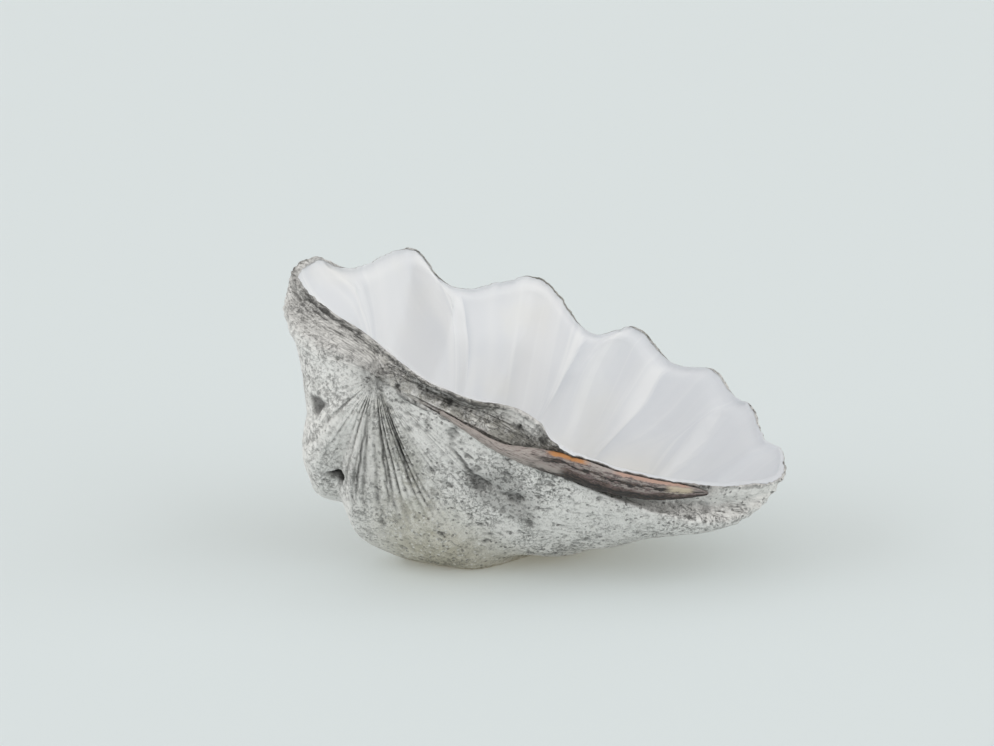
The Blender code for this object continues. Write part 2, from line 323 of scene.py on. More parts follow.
def edge_rows():
    """The edge's rows, and the same rows with the lobes smoothed away."""
    plain = EDGE.copy()
    for k in range(FIRST_LOBE_ROW, LAST_LOBE_ROW + 1):
        plain[k, :3] = 0.25 * EDGE[k - 1, :3] + 0.5 * EDGE[k, :3] + 0.25 * EDGE[k + 1, :3]
    return EDGE, plain


def tooth_height(t):
    return TOOTH_HEIGHT * band(t % ROWS, *TOOTH_ROWS)


def plate_share(t):
    """One along the wide hinge edge, falling to nothing at the thin lip."""
    return band(t % ROWS, *PLATE_ROWS)


def outer_surface(t, v, rib_height=1.0):
    """The outside at rows t and places v from the beak to the edge, and the edge's width at each t."""
    rows, plain = edge_rows()
    edge = through_rows(rows[:, :3], t)
    calm = through_rows(plain[:, :3], t)
    heading = np.radians(rows[:, 3])
    heading = unit(through_rows(np.stack([np.cos(heading), np.sin(heading)], 1), t))
    hold, lean, settle, width, rib = through_rows(rows[:, 4:9], t).T[:, :, None]
    along = np.roll(calm, -1, 0) - np.roll(calm, 1, 0)
    outward = unit(np.stack([along[:, 1], -along[:, 0], np.zeros(len(along))], 1))
    leaning = np.radians(lean)
    second = BEAK + hold * np.stack([heading[:, 0], np.zeros(len(t)), heading[:, 1]], 1)
    third = calm + settle * (np.cos(leaning) * DOWN - np.sin(leaning) * outward)
    v = v[:, None, None]
    base = (
        (1 - v) ** 3 * BEAK
        + 3 * (1 - v) ** 2 * v * second
        + 3 * (1 - v) * v**2 * third
        + v**3 * calm
    )
    round_step = np.roll(base, -1, 1) - np.roll(base, 1, 1)
    normal = unit(np.cross(np.gradient(base, axis=0), round_step))
    grown = np.clip((v - RIB_START) / (1 - RIB_START), 0, 1)
    swell = 1 + RIB_SWELL * band(v, *SWELL_PLACES)
    at_edge = smooth_step(EDGE_LOBES_START, 1.0, v)
    height = rib * rib_height * grown * swell * (1 - at_edge)
    for row, breadth, fold, *places in FRONT_FOLDS:
        off = rows_apart(t, row)[:, None] / breadth
        height = height + fold * rib_height * band(v, *places) * np.exp(-(off**2))
    ribbed = base + normal * height + (edge - calm) * at_edge
    ribbed = ribbed - DOWN * tooth_height(t)[:, None] * smooth_step(TOOTH_START, 1.0, v)
    return ribbed, width


def places_out(count, t):
    """Places along the rays that space the rows evenly on the middle of the rays, closer by the edge."""
    fine = np.linspace(0.0, 1.0, 401)
    surface, _ = outer_surface(t[::8], fine)
    run = run_of(surface).mean(1)
    share = np.linspace(0.0, 1.0, count + 1)
    share = share + CLOSER_BY_THE_EDGE * np.sin(math.pi * share) * share
    return np.interp(share * run[-1], run, fine)


def in_world(points):
    turned = points @ np.stack([AXIS_A, AXIS_B, np.cross(AXIS_B, AXIS_A)])
    return turned + MIDDLE_MM


def rested(points):
    """The outside in world axes, swollen towards each spot it rests on and worn flat on the floor."""
    points = points.copy()
    low = 1 - smooth_step(*SWOLLEN_BELOW, points[..., 2])
    for x, y, swell in REST_SPOTS:
        away = ((points[..., 0] - x) ** 2 + (points[..., 1] - y) ** 2) / SWELL_RADIUS**2
        points[..., 2] -= swell * low * np.exp(-away)
    points[..., 2] = np.maximum(points[..., 2], 0.0)
    return points


def grid_faces(grid, close_with=None):
    """Quads between the rows of a grid that closes on itself, with a fan to one last point if given."""
    here, beside = grid[:-1], np.roll(grid, -1, 1)[:-1]
    above, beyond = grid[1:], np.roll(grid, -1, 1)[1:]
    faces = np.stack([here, beside, beyond, above], -1).reshape(-1, 4).tolist()
    if close_with is not None:
        last = grid[-1]
        faces += np.stack([last, np.roll(last, -1), np.full(len(last), close_with)], -1).tolist()
    return faces


def tree_of(surface):
    grid = np.arange(surface.shape[0] * surface.shape[1]).reshape(surface.shape[:2])
    return BVHTree.FromPolygons([Vector(p) for p in surface.reshape(-1, 3)], grid_faces(grid))


def softened(field, times, closed_axis=1):
    """The field with each number moved towards its neighbours, the given number of times."""
    for _ in range(times):
        field = 0.5 * field + 0.25 * (np.roll(field, 1, closed_axis) + np.roll(field, -1, closed_axis))
        inner = 0.5 * field[1:-1] + 0.25 * (field[:-2] + field[2:])
        field = np.concatenate([field[:1], inner, field[-1:]])
    return field


def bowl_reach(trees, angles, downs):
    """How far the inside lies from the bowl's middle, for each angle round it and each one below level."""
    reaches = np.zeros((len(downs), len(angles)))
    for i, down in enumerate(downs):
        fade = RIB_FADE_INSIDE * smooth_step(0.1, 0.7, down / 90.0)
        for j, angle in enumerate(np.radians(angles)):
            flat, dip = math.cos(math.radians(down)), math.sin(math.radians(down))
            aim = Vector((flat * math.cos(angle), flat * math.sin(angle), dip))
            hits = [tree.ray_cast(Vector(BOWL_MIDDLE), aim) for tree in trees]
            if hits[0][3] is None or hits[1][3] is None:
                reaches[i, j] = np.nan
                continue
            far = [hit[3] - WALL / max(abs(hit[1].dot(aim)), LEAST_SLANT) for hit in hits]
            reach = min(far[0] * (1 - fade) + far[1] * fade, hits[0][3] - LEAST_SHARE * WALL)
            for _ in range(8):
                gap = trees[0].find_nearest(Vector(BOWL_MIDDLE) + aim * reach)[3]
                if gap >= LEAST_SHARE * WALL:
                    break
                reach -= LEAST_SHARE * WALL - gap
            reaches[i, j] = reach
    return reaches


def ridges_inside(angle, w):
    """How high the ridges stand this far down, and their sides' painted light or, below zero, painted
    shade.
    """
    ridge, side = np.zeros(len(angle)), np.zeros(len(angle))
    for k, height in RIDGES:
        notch = EDGE[k, :3] - BOWL_MIDDLE
        middle = np.degrees(np.arctan2(notch[1], notch[0])) - w * np.interp(k, BEND_ROWS, BENDS)
        off = (angle - middle + 180.0) % 360.0 - 180.0
        ridge = ridge + height * np.exp(-np.hypot(off, RIDGE_CREST) / RIDGE_BREADTH)
        # Painted light on the side left of each crest, painted shade on the side right of it.
        light = smooth_step(-PAINTED_SIDE_BLEND, PAINTED_SIDE_BLEND, off)
        shade = (1 - light) * np.exp(off / PAINTED_SHADE_BREADTH)
        side = side + height * (light * np.exp(-((off / PAINTED_LIGHT_BREADTH) ** 2)) - shade)
    return ridge * band(w, *RIDGE_DEPTHS), side * band(w, *PAINTED_SIDE_DEPTHS)


def bowl_surface(t, steps):
    """The inside from the edge's inner line to the bottom of the bowl, the bottom point, the edge's width
    and inward direction, and the painted light and shade that the ridges put on each place."""
    v = places_out(90, t)
    ribbed, width = outer_surface(t, v)
    smooth, _ = outer_surface(t, v, 0.0)
    trees = [tree_of(surface) for surface in (ribbed, smooth)]
    edge = ribbed[-1]
    width = width[:, 0] * (1 - (1 - LIP_SHARE) * band(t % ROWS, *THIN_ROWS))
    along = np.roll(edge, -1, 0) - np.roll(edge, 1, 0)
    inward = unit(np.stack([-along[:, 1], along[:, 0], np.zeros(len(along))], 1))
    plate = plate_share(t)
    rim = edge + inward * width[:, None] + DOWN * (tooth_height(t) + EDGE_DROP * width * plate)[:, None]

    angles = np.arange(0.0, 360.0, ANGLE_STEP)
    downs = np.linspace(FIRST_DOWN, LAST_DOWN, DOWN_COUNT)
    table = bowl_reach(trees, angles, downs)
    for i in range(len(downs) - 2, -1, -1):
        missed = np.isnan(table[i])
        table[i][missed] = table[i + 1][missed]
    calm = softened(table, 6)
    calmer = softened(calm, 60)
    deep = (downs / 90.0)[:, None]
    table = table + (calm - table) * smooth_step(0.1, 0.35, deep)
    table = table + (calmer - table) * smooth_step(0.45, 0.9, deep)
    table = table + (table[-1].mean() - table) * smooth_step(0.9, 1.0, deep)
    table = np.concatenate([table, table[:, :1]], 1)

    spoke = rim - BOWL_MIDDLE
    angle = np.degrees(np.arctan2(spoke[:, 1], spoke[:, 0])) % 360.0
    start = np.degrees(np.arctan2(spoke[:, 2], np.hypot(spoke[:, 0], spoke[:, 1])))
    rim_reach = np.linalg.norm(spoke, axis=1)
    # sides gathers the ridges' painted light and shade, row by row.
    inside, sides = [], [np.zeros(len(t))]
    for w in (np.arange(1, steps + 1) / steps) ** CROWDING:
        down = start * (1 - w) + 90.0 * w
        at = np.clip((down - downs[0]) / (downs[1] - downs[0]), 0, len(downs) - 1.001)
        i, j = at.astype(int), (angle / ANGLE_STEP).astype(int)
        f, g = at - i, angle / ANGLE_STEP - j
        low = table[i, j] * (1 - g) + table[i, j + 1] * g
        high = table[i + 1, j] * (1 - g) + table[i + 1, j + 1] * g
        reach = low * (1 - f) + high * f
        thinned = np.maximum(WALL - np.maximum(width, LEAST_WALL), 0)
        reach = reach + thinned * (1 - smooth_step(0.0, THIN_DEPTH, w))
        share = smooth_step(0.0, 0.045 + 0.125 * plate, w)
        reach = reach * share + rim_reach * (1 - share)
        # side is the ridges' painted light and shade at this depth.
        ridge, side = ridges_inside(angle, w)
        reach = reach - RIDGE_HEIGHT * ridge
        sides.append(side)
        level, dip = np.radians(angle), np.radians(down)
        aim = np.stack([np.cos(dip) * np.cos(level), np.cos(dip) * np.sin(level), np.sin(dip)], 1)
        inside.append(BOWL_MIDDLE + aim * reach[:, None])
    inside = np.array([rim] + inside)
    return inside[:-1], inside[-1].mean(0), width, inward, np.array(sides[:-1])


def bedded(surface):
    """The outside with the furrow in which the ligament lies."""
    line = through_rows(LIGAMENT, np.linspace(0.0, len(LIGAMENT) - 1.0, 160), False)
    along = unit(np.gradient(line[:, :3], axis=0))
    away = unit(np.cross(along, DOWN))
    face = unit(np.cross(away, along))
    near = (surface[..., 1] < -20) & (surface[..., 2] < 60)
    points = surface[near]
    apart = np.linalg.norm(points[:, None] - line[None, :, :3], axis=2)
    k = apart.argmin(1)
    offset = points - line[k, :3]
    lengthwise = (offset * along[k]).sum(1)
    x = (offset * face[k]).sum(1) / (line[k, 3] + 0.8)
    y = (offset * away[k]).sum(1)
    floor = -0.75 * line[k, 4] * np.sqrt(np.clip(1 - x * x, 0, 1))
    inside = (abs(x) < 1) & (abs(lengthwise) < 3) & (y > floor) & (y < line[k, 4] * 1.6 + 4)
    moved_points = points + away[k] * np.where(inside, floor - y, 0.0)[:, None]
    result = surface.copy()
    result[near] = moved_points
    return result


def scar_marks(surface, t, v):
    """How far each point of the outside is sunk by holes and rubbed places, and how dark they make it."""
    sink = np.zeros(surface.shape[:2])
    dark = np.zeros(surface.shape[:2])
    for row, place, length, breadth, depth, shade in SCARS:
        i = int(np.argmin(abs(v - place)))
        j = int(np.argmin(abs(rows_apart(t, row))))
        centre = surface[i, j]
        out = unit(surface[i + 1, j] - surface[i - 1, j])
        side = surface[i, (j + 1) % len(t)] - surface[i, j - 1]
        side = unit(side - out * (side @ out))
        away = surface - centre
        normal = np.cross(out, side)
        x, y, z = away @ out / length, away @ side / breadth, away @ normal
        ragged = 0.16 * np.sin(3 * np.arctan2(y, x) + row * 7) + 0.1 * np.sin(5 * np.arctan2(y, x) + row)
        r = np.sqrt(x * x + y * y) * (1 + ragged)
        near = abs(z) < 4 * max(length, breadth)
        sink += depth * (1 - smooth_step(0.45, 1.15, r)) * near
        dark = np.maximum(dark, shade * (1 - smooth_step(0.6, 1.2, r)) * near)
    for first, last, start, end, breadth, depth in CREVICES:
        share = np.linspace(0.0, 1.0, 60)
        rows = (first + (last - first) * share) % ROWS
        places = start + (end - start) * share
        j = [int(np.argmin(abs(rows_apart(t, row)))) for row in rows]
        i = [int(np.argmin(abs(v - place))) for place in places]
        line = surface[i, j]
        wander = np.sin(share * 23 + first) * 0.8 + np.sin(share * 51 + depth) * 0.5
        line = line + wander[:, None] * np.array([0.5, 0.3, 0.5])
        low, high = line.min(0) - 8, line.max(0) + 8
        near = ((surface > low) & (surface < high)).all(-1)
        apart = np.linalg.norm(surface[near][:, None] - line[None], axis=2)
        k = apart.argmin(1)
        fine = np.sin(math.pi * np.clip(share[k] * 0.94 + 0.03, 0, 1)) ** 0.5
        cut = 1 - smooth_step(0.25, 1.3, apart.min(1) / breadth)
        sink[near] = np.maximum(sink[near], depth * cut * fine)
        dark[near] = np.maximum(dark[near], 0.75 * cut * fine)
    return sink, dark


def marks_by_row(t, reach, to_lip, rows_out):
    """Where each kind of surface lies, for every point: shares that go by the row round the shell."""
    turned = t % ROWS
    left_end, covered = band(turned, *LEFT_END_ROWS), band(turned, *LIGAMENT_ROWS)
    flank = band(turned % 2, *RIGHT_OF_LOBE) * band(turned, *LOBE_ROWS)
    crusted = plate_share(t) * (1 + 0.6 * tooth_height(t) / TOOTH_HEIGHT) * (1 - covered)
    crusted = crusted + 1.6 * left_end + 0.4 * flank
    outside = np.ones(to_lip.shape)
    outside[rows_out:] = 1 - smooth_step(
        0.7 - 0.6 * covered + 3 * crusted, 2.4 - 1.4 * covered + 6 * crusted, to_lip[rows_out:]
    )
    front = smooth_step(5.6, 6.6, turned) * (1 - 0.55 * smooth_step(9.4, 10.0, turned))
    front = front * (1 - smooth_step(11.6, 12.8, turned)) + 0.3 * band(turned, 0.0, 1.5, 5.6, 6.6)
    ends = band(turned, *KNOB_ROWS) + smooth_step(24.8, 25.4, turned) + (1 - smooth_step(0.3, 1.2, turned))
    return {
        "outside": outside,
        "front": front,
        "hinge": band(turned, *HINGE_ROWS),
        "blush": band(turned, *BLUSH_ROWS) * smooth_step(30.0, 60.0, reach),
        "tooth": tooth_height(t) / TOOTH_HEIGHT * (1 - smooth_step(8.0, 20.0, to_lip)),
        # The slopes carry more pits, and are whitened partly as wear, partly as painted light.
        "slope": (1 - smooth_step(4.0, 7.0, turned)) + smooth_step(23.5, 25.0, turned),
        "knobbed": ends * (1 - smooth_step(30.0, 130.0, to_lip)),
    }


def with_ends(name, numbers, count):
    """One mark's numbers for every point of the sheet, then for the beak and the bottom of the bowl."""
    if name in VECTOR_MARKS:
        flat = np.broadcast_to(numbers, (*count, 3)).reshape(-1, 3)
        return np.concatenate([flat, np.zeros((2, 3))])
    at_beak = 1.0 if name == "outside" else 0.0
    return np.append(np.broadcast_to(numbers, count).ravel(), (at_beak, 0.0))


# Meshes


def mesh_object(name, points, faces, fields):
    """A smooth mesh from points in millimetres in world axes, with each field kept as an attribute."""
    mesh = bpy.data.meshes.new(name)
    mesh.from_pydata((points * METRES_PER_MM).tolist(), [], faces)
    mesh.update()
    for field, numbers in fields.items():
        kind = "FLOAT_VECTOR" if numbers.ndim == 2 else "FLOAT"
        layer = mesh.attributes.new(field, kind, "POINT")
        layer.data.foreach_set("vector" if numbers.ndim == 2 else "value", numbers.ravel())
    built = bmesh.new()
    built.from_mesh(mesh)
    bmesh.ops.recalc_face_normals(built, faces=built.faces[:])
    built.to_mesh(mesh)
    built.free()
    mesh.shade_smooth()
    obj = bpy.data.objects.new(name, mesh)
    bpy.context.scene.collection.objects.link(obj)
    return obj


def with_relief(obj, tree, inputs):
    """The object with the relief that the geometry nodes give it, as a plain mesh."""
    modifier = obj.modifiers.new("relief", "NODES")
    modifier.node_group = tree
    named = {item.name: item.identifier for item in tree.interface.items_tree if item.in_out == "INPUT"}
    for name, value in inputs.items():
        modifier[named[name]] = value
    bpy.context.view_layer.update()
    graph = bpy.context.evaluated_depsgraph_get()
    mesh = bpy.data.meshes.new_from_object(obj.evaluated_get(graph), depsgraph=graph)
    obj.modifiers.clear()
    plain = obj.data
    obj.data = mesh
    bpy.data.meshes.remove(plain)
    mesh.name = obj.name
    return obj


# Node trees


class Field:
    """An output of a node. Sums, products and the like of fields add the Math nodes that work them out."""

    def __init__(self, nodes, socket):
        self.nodes = nodes
        self.socket = socket

    def maths(self, operation, *terms):
        return self.nodes.add("ShaderNodeMath", {"operation": operation}, terms)[0]

    def __add__(self, other):
        return self.maths("ADD", self, other)

    def __radd__(self, other):
        return self.maths("ADD", other, self)

    def __sub__(self, other):
        return self.maths("SUBTRACT", self, other)

    def __rsub__(self, other):
        return self.maths("SUBTRACT", other, self)

    def __mul__(self, other):
        return self.maths("MULTIPLY", self, other)

    def __rmul__(self, other):
        return self.maths("MULTIPLY", other, self)

    def __truediv__(self, other):
        return self.maths("DIVIDE", self, other)

    def __rtruediv__(self, other):
        return self.maths("DIVIDE", other, self)

    def __abs__(self):
        return self.maths("ABSOLUTE", self)


class Nodes:
    """A node tree, with one method that adds a node and short ones for the kinds used most."""

    def __init__(self, tree):
        self.tree = tree

    def add(self, kind, settings=None, values=()):
        """A new node, settings first, then sockets by place or by name; gives its outputs as fields."""
        node = self.tree.nodes.new(kind)
        for name, value in (settings or {}).items():
            if name == "stops":
                self.set_stops(node.color_ramp, value)
            else:
                setattr(node, name, value)
        places = values.items() if isinstance(values, dict) else enumerate(values)
        for place, value in places:
            if isinstance(value, Field):
                self.tree.links.new(value.socket, node.inputs[place])
            elif value is not None:
                node.inputs[place].default_value = value
        return [Field(self, socket) for socket in node.outputs]

    @staticmethod
    def set_stops(ramp, stops):
        while len(ramp.elements) < len(stops):
            ramp.elements.new(1.0)
        for element, (place, colour) in zip(ramp.elements, stops):
            element.position = place
            element.color = (*colour, 1.0)

    def noise(self, vector, scale, detail=2.0, roughness=0.5, distortion=0.0):
        values = {"Vector": vector, "Scale": scale, "Detail": detail, "Roughness": roughness}
        values["Distortion"] = distortion
        return self.add("ShaderNodeTexNoise", None, values)[0]

    def cells(self, vector, scale):
        return self.add("ShaderNodeTexVoronoi", None, {"Vector": vector, "Scale": scale})

    def step(self, value, low, high):
        settings = {"interpolation_type": "SMOOTHSTEP"}
        return self.add("ShaderNodeMapRange", settings, (value, low, high))[0]

    def band(self, value, start, full, fade, end):
        return self.step(value, start, full) * (1.0 - self.step(value, fade, end))

    def least(self, first, second):
        return self.add("ShaderNodeMath", {"operation": "MINIMUM"}, (first, second))[0]

    def most(self, *terms):
        largest = terms[0]
        for term in terms[1:]:
            largest = self.add("ShaderNodeMath", {"operation": "MAXIMUM"}, (largest, term))[0]
        return largest

    def vector(self, operation, *terms):
        return self.add("ShaderNodeVectorMath", {"operation": operation}, terms)[0]

    def scaled(self, vector, factor):
        values = {0: vector, 3: factor}
        return self.add("ShaderNodeVectorMath", {"operation": "SCALE"}, values)[0]

    def colour(self, factor, first, second):
        settings = {"data_type": "RGBA", "blend_type": "MIX"}
        return self.add("ShaderNodeMix", settings, {0: factor, 6: first, 7: second})[2]

    def parts(self, colour):
        return self.add("ShaderNodeSeparateXYZ", None, (colour,))


def relief_tree(name, inputs):
    """A new geometry tree with the named inputs: its nodes, its inputs as fields and its output node."""
    tree = bpy.data.node_groups.new(name, "GeometryNodeTree")
    tree.interface.new_socket("Geometry", in_out="INPUT", socket_type="NodeSocketGeometry")
    tree.interface.new_socket("Material", in_out="INPUT", socket_type="NodeSocketMaterial")
    for title, value in inputs.items():
        socket = tree.interface.new_socket(title, in_out="INPUT", socket_type="NodeSocketFloat")
        socket.default_value = value
    tree.interface.new_socket("Geometry", in_out="OUTPUT", socket_type="NodeSocketGeometry")
    nodes = Nodes(tree)
    group = tree.nodes.new("NodeGroupInput")
    given = {socket.name: Field(nodes, socket) for socket in group.outputs if socket.name}
    return nodes, given, tree.nodes.new("NodeGroupOutput")


def named_number(nodes, name):
    settings = {"data_type": "FLOAT"}
    return nodes.add("GeometryNodeInputNamedAttribute", settings, (name,))[0]


def named_vector(nodes, name):
    settings = {"data_type": "FLOAT_VECTOR"}
    return nodes.add("GeometryNodeInputNamedAttribute", settings, (name,))[0]


def stored(nodes, geometry, name, value):
    settings = {"data_type": "FLOAT", "domain": "POINT"}
    values = {0: geometry, 2: name, 3: value}
    return nodes.add("GeometryNodeStoreNamedAttribute", settings, values)[0]


def moved(nodes, geometry, offset):
    return nodes.add("GeometryNodeSetPosition", None, {0: geometry, 3: offset})[0]


def finished(nodes, geometry, given, output):
    """Ends a relief tree: nothing left as an instance, and the material set."""
    real = nodes.add("GeometryNodeRealizeInstances", None, (geometry,))[0]
    last = nodes.add("GeometryNodeSetMaterial", None, {0: real, 2: given["Material"]})[0]
    nodes.tree.links.new(last.socket, output.inputs[0])


def shell_relief(look):
    """Lumps, knobs, riblets, growth edges, pits, crumbs and scars on the outside, and chips in the edge."""
    sizes = {
        "Lump Height": look.lump_height,
        "Knob Height": look.knob_height,
        "Riblet Depth": look.riblet_depth,
        "Riblets per Row": look.riblets_per_row,
        "Growth Edge Height": look.growth_height,
        "Growth Edge Spacing": look.growth_spacing,
        "Pit Depth": look.pit_depth,
        "Pit Size": look.pit_size,
        "Crumb Height": look.crumb_height,
        "Chip Depth": look.chip_depth,
    }
    nodes, given, output = relief_tree("shell_relief", sizes)
    place = nodes.add("GeometryNodeInputPosition")[0]
    normal = nodes.add("GeometryNodeInputNormal")[0]
    outside, row, reach, lip, front, hinge, slope, scar, knobbed = [
        named_number(nodes, name)
        for name in ("outside", "row", "reach", "lip", "front", "hinge", "slope", "scar_depth", "knobbed")
    ]
    inward = named_vector(nodes, "inward")
    edge_place = named_vector(nodes, "edge_place")

    warp = nodes.noise(place, 14.0, 2.0) - 0.5
    broad = nodes.noise(place, 20.0, 1.0) - 0.5
    middle = nodes.noise(place, 75.0, 2.0, 0.6) - 0.5
    lumps = (broad * 2.0 + middle * (0.9 + 1.6 * knobbed)) * given["Lump Height"]
    knob = nodes.noise(place, 90.0, 2.0, 0.6) - 0.5
    lumps = lumps + knob * knobbed * 2.0 * given["Knob Height"]

    line = row * given["Riblets per Row"] + warp * 0.9
    settings = {"voronoi_dimensions": "1D", "feature": "DISTANCE_TO_EDGE"}
    apart = nodes.add("ShaderNodeTexVoronoi", settings, {"W": line, "Scale": 1.0, "Randomness": 0.75})[0]
    broken = nodes.step(nodes.noise(place, 60.0, 2.0), 0.36, 0.5)
    groove = (1.0 - nodes.step(apart, 0.02, 0.22)) * (0.35 + 0.65 * broken)
    groove = groove + 0.4 * (1.0 - nodes.step(apart, 0.1, 0.5))
    near_beak = nodes.band(reach, 0.01, 0.03, 0.09, 0.165)
    spread = nodes.add("ShaderNodeCombineXYZ", None, (row * 1.4, reach * 9.0, 0.0))[0]
    uneven = 0.25 + 0.75 * nodes.step(nodes.noise(spread, 1.0, 1.0), 0.4, 0.58)
    ribletted = front * near_beak * uneven + 0.1 * (1.0 - hinge) * (1.0 - nodes.step(reach, 0.15, 0.42))
    riblet = groove * nodes.least(ribletted, 1.0)

    layer = lip / given["Growth Edge Spacing"] + warp * 1.6 + middle * 0.5
    saw = nodes.add("ShaderNodeMath", {"operation": "FRACT"}, (layer,))[0]
    ledge = saw * (1.0 - nodes.step(saw, 0.8, 1.0))
    patchy = nodes.step(nodes.noise(place, 26.0, 2.0), 0.35, 0.62)
    by_lip = (1.0 - nodes.step(lip, 0.03, 0.11)) * (0.35 + 0.65 * patchy)
    back = nodes.step(reach, 0.12, 0.24) * (1.0 - slope)
    layered = nodes.least(by_lip * (0.45 + 0.9 * hinge) + (0.14 + 0.45 * back) * patchy, 1.2)
    growth = ledge * layered

    cell = nodes.cells(place, 1.0 / given["Pit Size"])
    pick = nodes.parts(cell[1])[0]
    size = nodes.parts(cell[1])[1]
    pitted = nodes.most(slope, knobbed)
    chosen = nodes.step(pick, 0.86 - 0.24 * pitted, 0.9 - 0.24 * pitted)
    round_pit = 1.0 - nodes.step(cell[0], 0.12 + 0.12 * size, 0.3 + 0.2 * size)
    small = nodes.cells(place, 2.3 / given["Pit Size"])
    small_pick = nodes.parts(small[1])[0]
    small_pit = (1.0 - nodes.step(small[0], 0.18, 0.42)) * nodes.step(small_pick, 0.8 - 0.2 * slope, 0.84)
    pit = nodes.least(round_pit * chosen + 0.45 * small_pit, 1.0) * (1.0 - 0.7 * front * near_beak)

    crumb = nodes.noise(place, 260.0, 3.0, 0.65) - 0.5
    raised = (
        lumps
        - riblet * given["Riblet Depth"]
        + growth * given["Growth Edge Height"]
        - pit * given["Pit Depth"]
        + crumb * 2.0 * given["Crumb Height"]
        - scar
    )
    raised = raised * nodes.most(nodes.step(lip, 0.0, 0.04), hinge * 0.8, knobbed * 0.8, 0.15)
    near_lip = 1.0 - nodes.step(lip, 0.0, 0.012)
    chip = nodes.step(nodes.noise(edge_place, 45.0, 3.0, 0.7), 0.42, 0.72)
    chip = chip + 0.5 * nodes.step(nodes.noise(edge_place, 150.0, 2.0, 0.6), 0.45, 0.65)
    chipped = chip * near_lip * given["Chip Depth"]

    geometry = given["Geometry"]
    geometry = stored(nodes, geometry, "groove", riblet * outside)
    geometry = stored(nodes, geometry, "ledge", (1.0 - ledge) * layered * outside)
    geometry = stored(nodes, geometry, "pit", pit * outside * nodes.step(lip, 0.0005, 0.003))
    offset = nodes.scaled(normal, raised * outside)
    offset = nodes.vector("ADD", offset, nodes.scaled(inward, chipped))
    geometry = moved(nodes, geometry, offset)

    place = nodes.add("GeometryNodeInputPosition")[0]
    x, y, z = nodes.parts(place)
    above = nodes.add("ShaderNodeCombineXYZ", None, (x, y, nodes.most(z, 0.0)))[0]
    geometry = nodes.add("GeometryNodeSetPosition", None, {0: geometry, 2: above})[0]
    finished(nodes, geometry, given, output)
    return nodes.tree, sizes


def ligament_relief():
    """Fibres along the strip, layers across it and broken places."""
    nodes, given, output = relief_tree("ligament_relief", {
        "Layer Height": 0.0011,
        "Fibre Height": 0.0004,
        "Lump Height": 0.0016,
    })
    place = nodes.add("GeometryNodeInputPosition")[0]
    normal = nodes.add("GeometryNodeInputNormal")[0]
    flow = named_vector(nodes, "flow")
    layers = nodes.noise(nodes.vector("MULTIPLY", flow, (9.0, 1.0, 1.0)), 1.0, 2.0, 0.6) - 0.5
    fibres = nodes.noise(nodes.vector("MULTIPLY", flow, (30.0, 3.0, 3.0)), 1.0, 2.0, 0.6) - 0.5
    lumps = nodes.noise(place, 60.0, 2.0, 0.6) - 0.5
    raised = (
        layers * 2.0 * given["Layer Height"]
        + fibres * 2.0 * given["Fibre Height"]
        + lumps * 2.0 * given["Lump Height"]
    )
    geometry = moved(nodes, given["Geometry"], nodes.scaled(normal, raised))
    finished(nodes, geometry, given, output)
    return nodes.tree


# Materials


def new_material(name, roughness):
    """A material with one Principled shader, its nodes and the shader node."""
    made = bpy.data.materials.new(name)
    made.use_nodes = True
    shader = made.node_tree.nodes["Principled BSDF"]
    shader.inputs["Roughness"].default_value = roughness
    return made, Nodes(made.node_tree), shader


def link(nodes, field, socket):
    nodes.tree.links.new(field.socket, socket)


def attribute(nodes, name):
    """The number of this name on the mesh's points, for a material."""
    return nodes.add("ShaderNodeAttribute", {"attribute_name": name})[2]


def attribute_vector(nodes, name):
    return nodes.add("ShaderNodeAttribute", {"attribute_name": name})[1]


def rgba(colour):
    return (*tuple(colour)[:3], 1.0)


def plain_chalk(nodes, look, place, marks, tone):
    """The chalk: grey to white, stained ochre and green, whitened at the slopes and ends by wear and
    painted light.
    """
    slope, tooth = marks["slope"], marks["tooth"]
    aside = nodes.vector("ADD", place, ASIDE)
    blotch, mottle, grain = tone
    x, _, z = nodes.parts(place)
    lightness = nodes.step(blotch * 0.75 + mottle * 0.9 + grain * 0.8 - 0.22, 0.62, 1.36)
    stops = {"stops": (
        (0.0, look.chalk_grey),
        (0.46, look.chalk),
        (0.76, look.chalk_white),
        (1.0, look.chalk_white),
    )}
    chalk = nodes.add("ShaderNodeValToRGB", stops, (lightness,))[0]
    ochre = nodes.step(nodes.noise(place, 30.0, 4.0, 0.65), 0.56, 0.72) * 0.3
    low = 1.0 - nodes.step(z, 0.02, 0.13)
    chalk = nodes.colour(ochre + low * 0.62, chalk, rgba(look.ochre))
    green = nodes.step(nodes.noise(aside, 20.0, 4.0, 0.65), 0.55, 0.7) * 0.35
    chalk = nodes.colour(green, chalk, rgba(look.moss))

    # Whitened slopes and ends: partly wear, partly painted light where the light falls on them strongest.
    left = 1.0 - nodes.step(x, -0.175, -0.11)
    far_right_worn_and_lit = nodes.step(x, 0.12, 0.19)
    worn = nodes.most(slope * 0.95, tooth, left * 0.9, far_right_worn_and_lit * 0.9)
    chalk = nodes.colour(worn, chalk, rgba(look.chalk_white))
    flushed = marks["blush"] * nodes.step(blotch, 0.35, 0.6) * 0.55
    return nodes.colour(flushed, chalk, rgba(look.blush)), left


